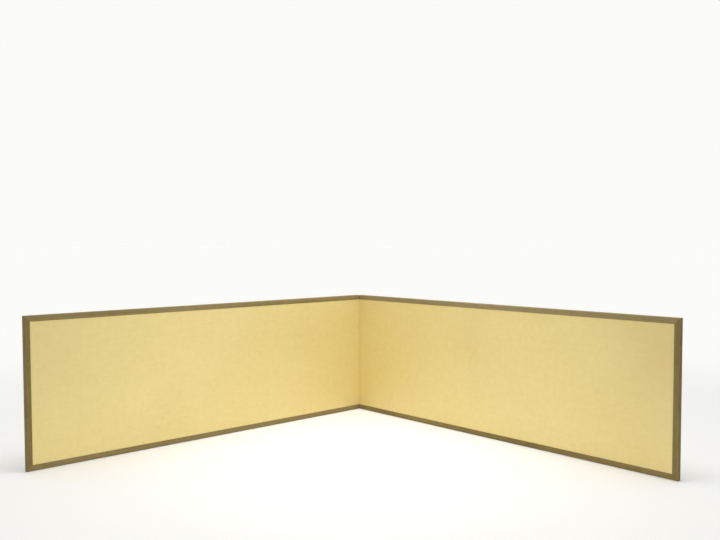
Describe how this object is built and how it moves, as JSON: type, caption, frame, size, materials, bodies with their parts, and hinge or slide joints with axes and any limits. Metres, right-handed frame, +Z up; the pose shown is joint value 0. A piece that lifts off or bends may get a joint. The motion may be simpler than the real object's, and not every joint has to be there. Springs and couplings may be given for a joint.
{
  "type": "folding screen",
  "caption": "Low folding screen for the tea room: gold paper panels in thin mitred wooden frames, joined by a paper hinge and standing half open.",
  "frame": {"origin": "on the floor, under the middle of the half-open screen's box; the fold stands behind it, at +Y", "axes": "+Z up, -Y towards the viewer on the gold side, +X to the viewer's right"},
  "size_m": [1.3716, 0.6136, 0.333],
  "materials": {
    "frame_wood": "brown stain under thin semi-matte lacquer",
    "gold_paper": "satin gold face paper with fine mottling",
    "back_paper": "matte mulberry paper",
    "under_paper": "layered matte mulberry paper",
    "hinge_paper": "strong mulberry paper, gold on its face",
    "core_cedar": "planed cedar",
    "bamboo": "whittled bamboo"
  },
  "bodies": {
    "left_panel": {"left_frame_top_rail": "frame_wood", "left_frame_bottom_rail": "frame_wood", "left_frame_outer_stile": "frame_wood", "left_frame_pegs": "bamboo", "left_core_top_rail": "core_cedar", "left_core_bottom_rail": "core_cedar", "left_core_hinge_stile": "core_cedar", "left_core_outer_stile": "core_cedar", "left_lattice_crossbar_1": "core_cedar", "left_lattice_crossbar_2": "core_cedar", "left_lattice_upright_1": "core_cedar", "left_lattice_upright_2": "core_cedar", "left_lattice_upright_3": "core_cedar", "left_lattice_upright_4": "core_cedar", "left_lattice_upright_5": "core_cedar", "left_lattice_upright_6": "core_cedar", "left_lattice_upright_7": "core_cedar", "left_front_underpaper": "under_paper", "left_back_underpaper": "under_paper", "left_gold_paper": "gold_paper", "left_back_paper": "back_paper", "left_edge_paper": "hinge_paper", "left_front_hinge_feet": "hinge_paper", "left_back_hinge_feet": "hinge_paper"},
    "wings_a": {"hinge_wing_1": "hinge_paper", "hinge_wing_3": "hinge_paper", "hinge_wing_5": "hinge_paper"},
    "right_panel": {"right_frame_top_rail": "frame_wood", "right_frame_bottom_rail": "frame_wood", "right_frame_outer_stile": "frame_wood", "right_frame_pegs": "bamboo", "right_core_top_rail": "core_cedar", "right_core_bottom_rail": "core_cedar", "right_core_hinge_stile": "core_cedar", "right_core_outer_stile": "core_cedar", "right_lattice_crossbar_1": "core_cedar", "right_lattice_crossbar_2": "core_cedar", "right_lattice_upright_1": "core_cedar", "right_lattice_upright_2": "core_cedar", "right_lattice_upright_3": "core_cedar", "right_lattice_upright_4": "core_cedar", "right_lattice_upright_5": "core_cedar", "right_lattice_upright_6": "core_cedar", "right_lattice_upright_7": "core_cedar", "right_front_underpaper": "under_paper", "right_back_underpaper": "under_paper", "right_gold_paper": "gold_paper", "right_back_paper": "back_paper", "right_edge_paper": "hinge_paper", "right_front_hinge_feet": "hinge_paper", "right_back_hinge_feet": "hinge_paper"},
    "wings_b": {"hinge_wing_2": "hinge_paper", "hinge_wing_4": "hinge_paper", "hinge_wing_6": "hinge_paper"}
  },
  "joints": [
    {"name": "front_fold", "type": "hinge", "parent": "left_panel", "child": "wings_a", "pos_m": [0, 0.29782, 0.1665], "axis": [0, 0, 1], "range_deg": [-96.5, 83.5]},
    {"name": "back_fold", "type": "hinge", "parent": "wings_a", "child": "right_panel", "pos_m": [0.00826, 0.30707, 0.1665], "axis": [0, 0, 1], "range_deg": [0, 180]},
    {"name": "wings_b_fold", "type": "hinge", "parent": "left_panel", "child": "wings_b", "pos_m": [-0.00826, 0.30707, 0.1665], "axis": [0, 0, 1], "range_deg": [0, 180]}
  ],
  "couplings": [
    {"joint": "wings_b_fold", "follows": "back_fold", "ratio": 1}
  ]
}
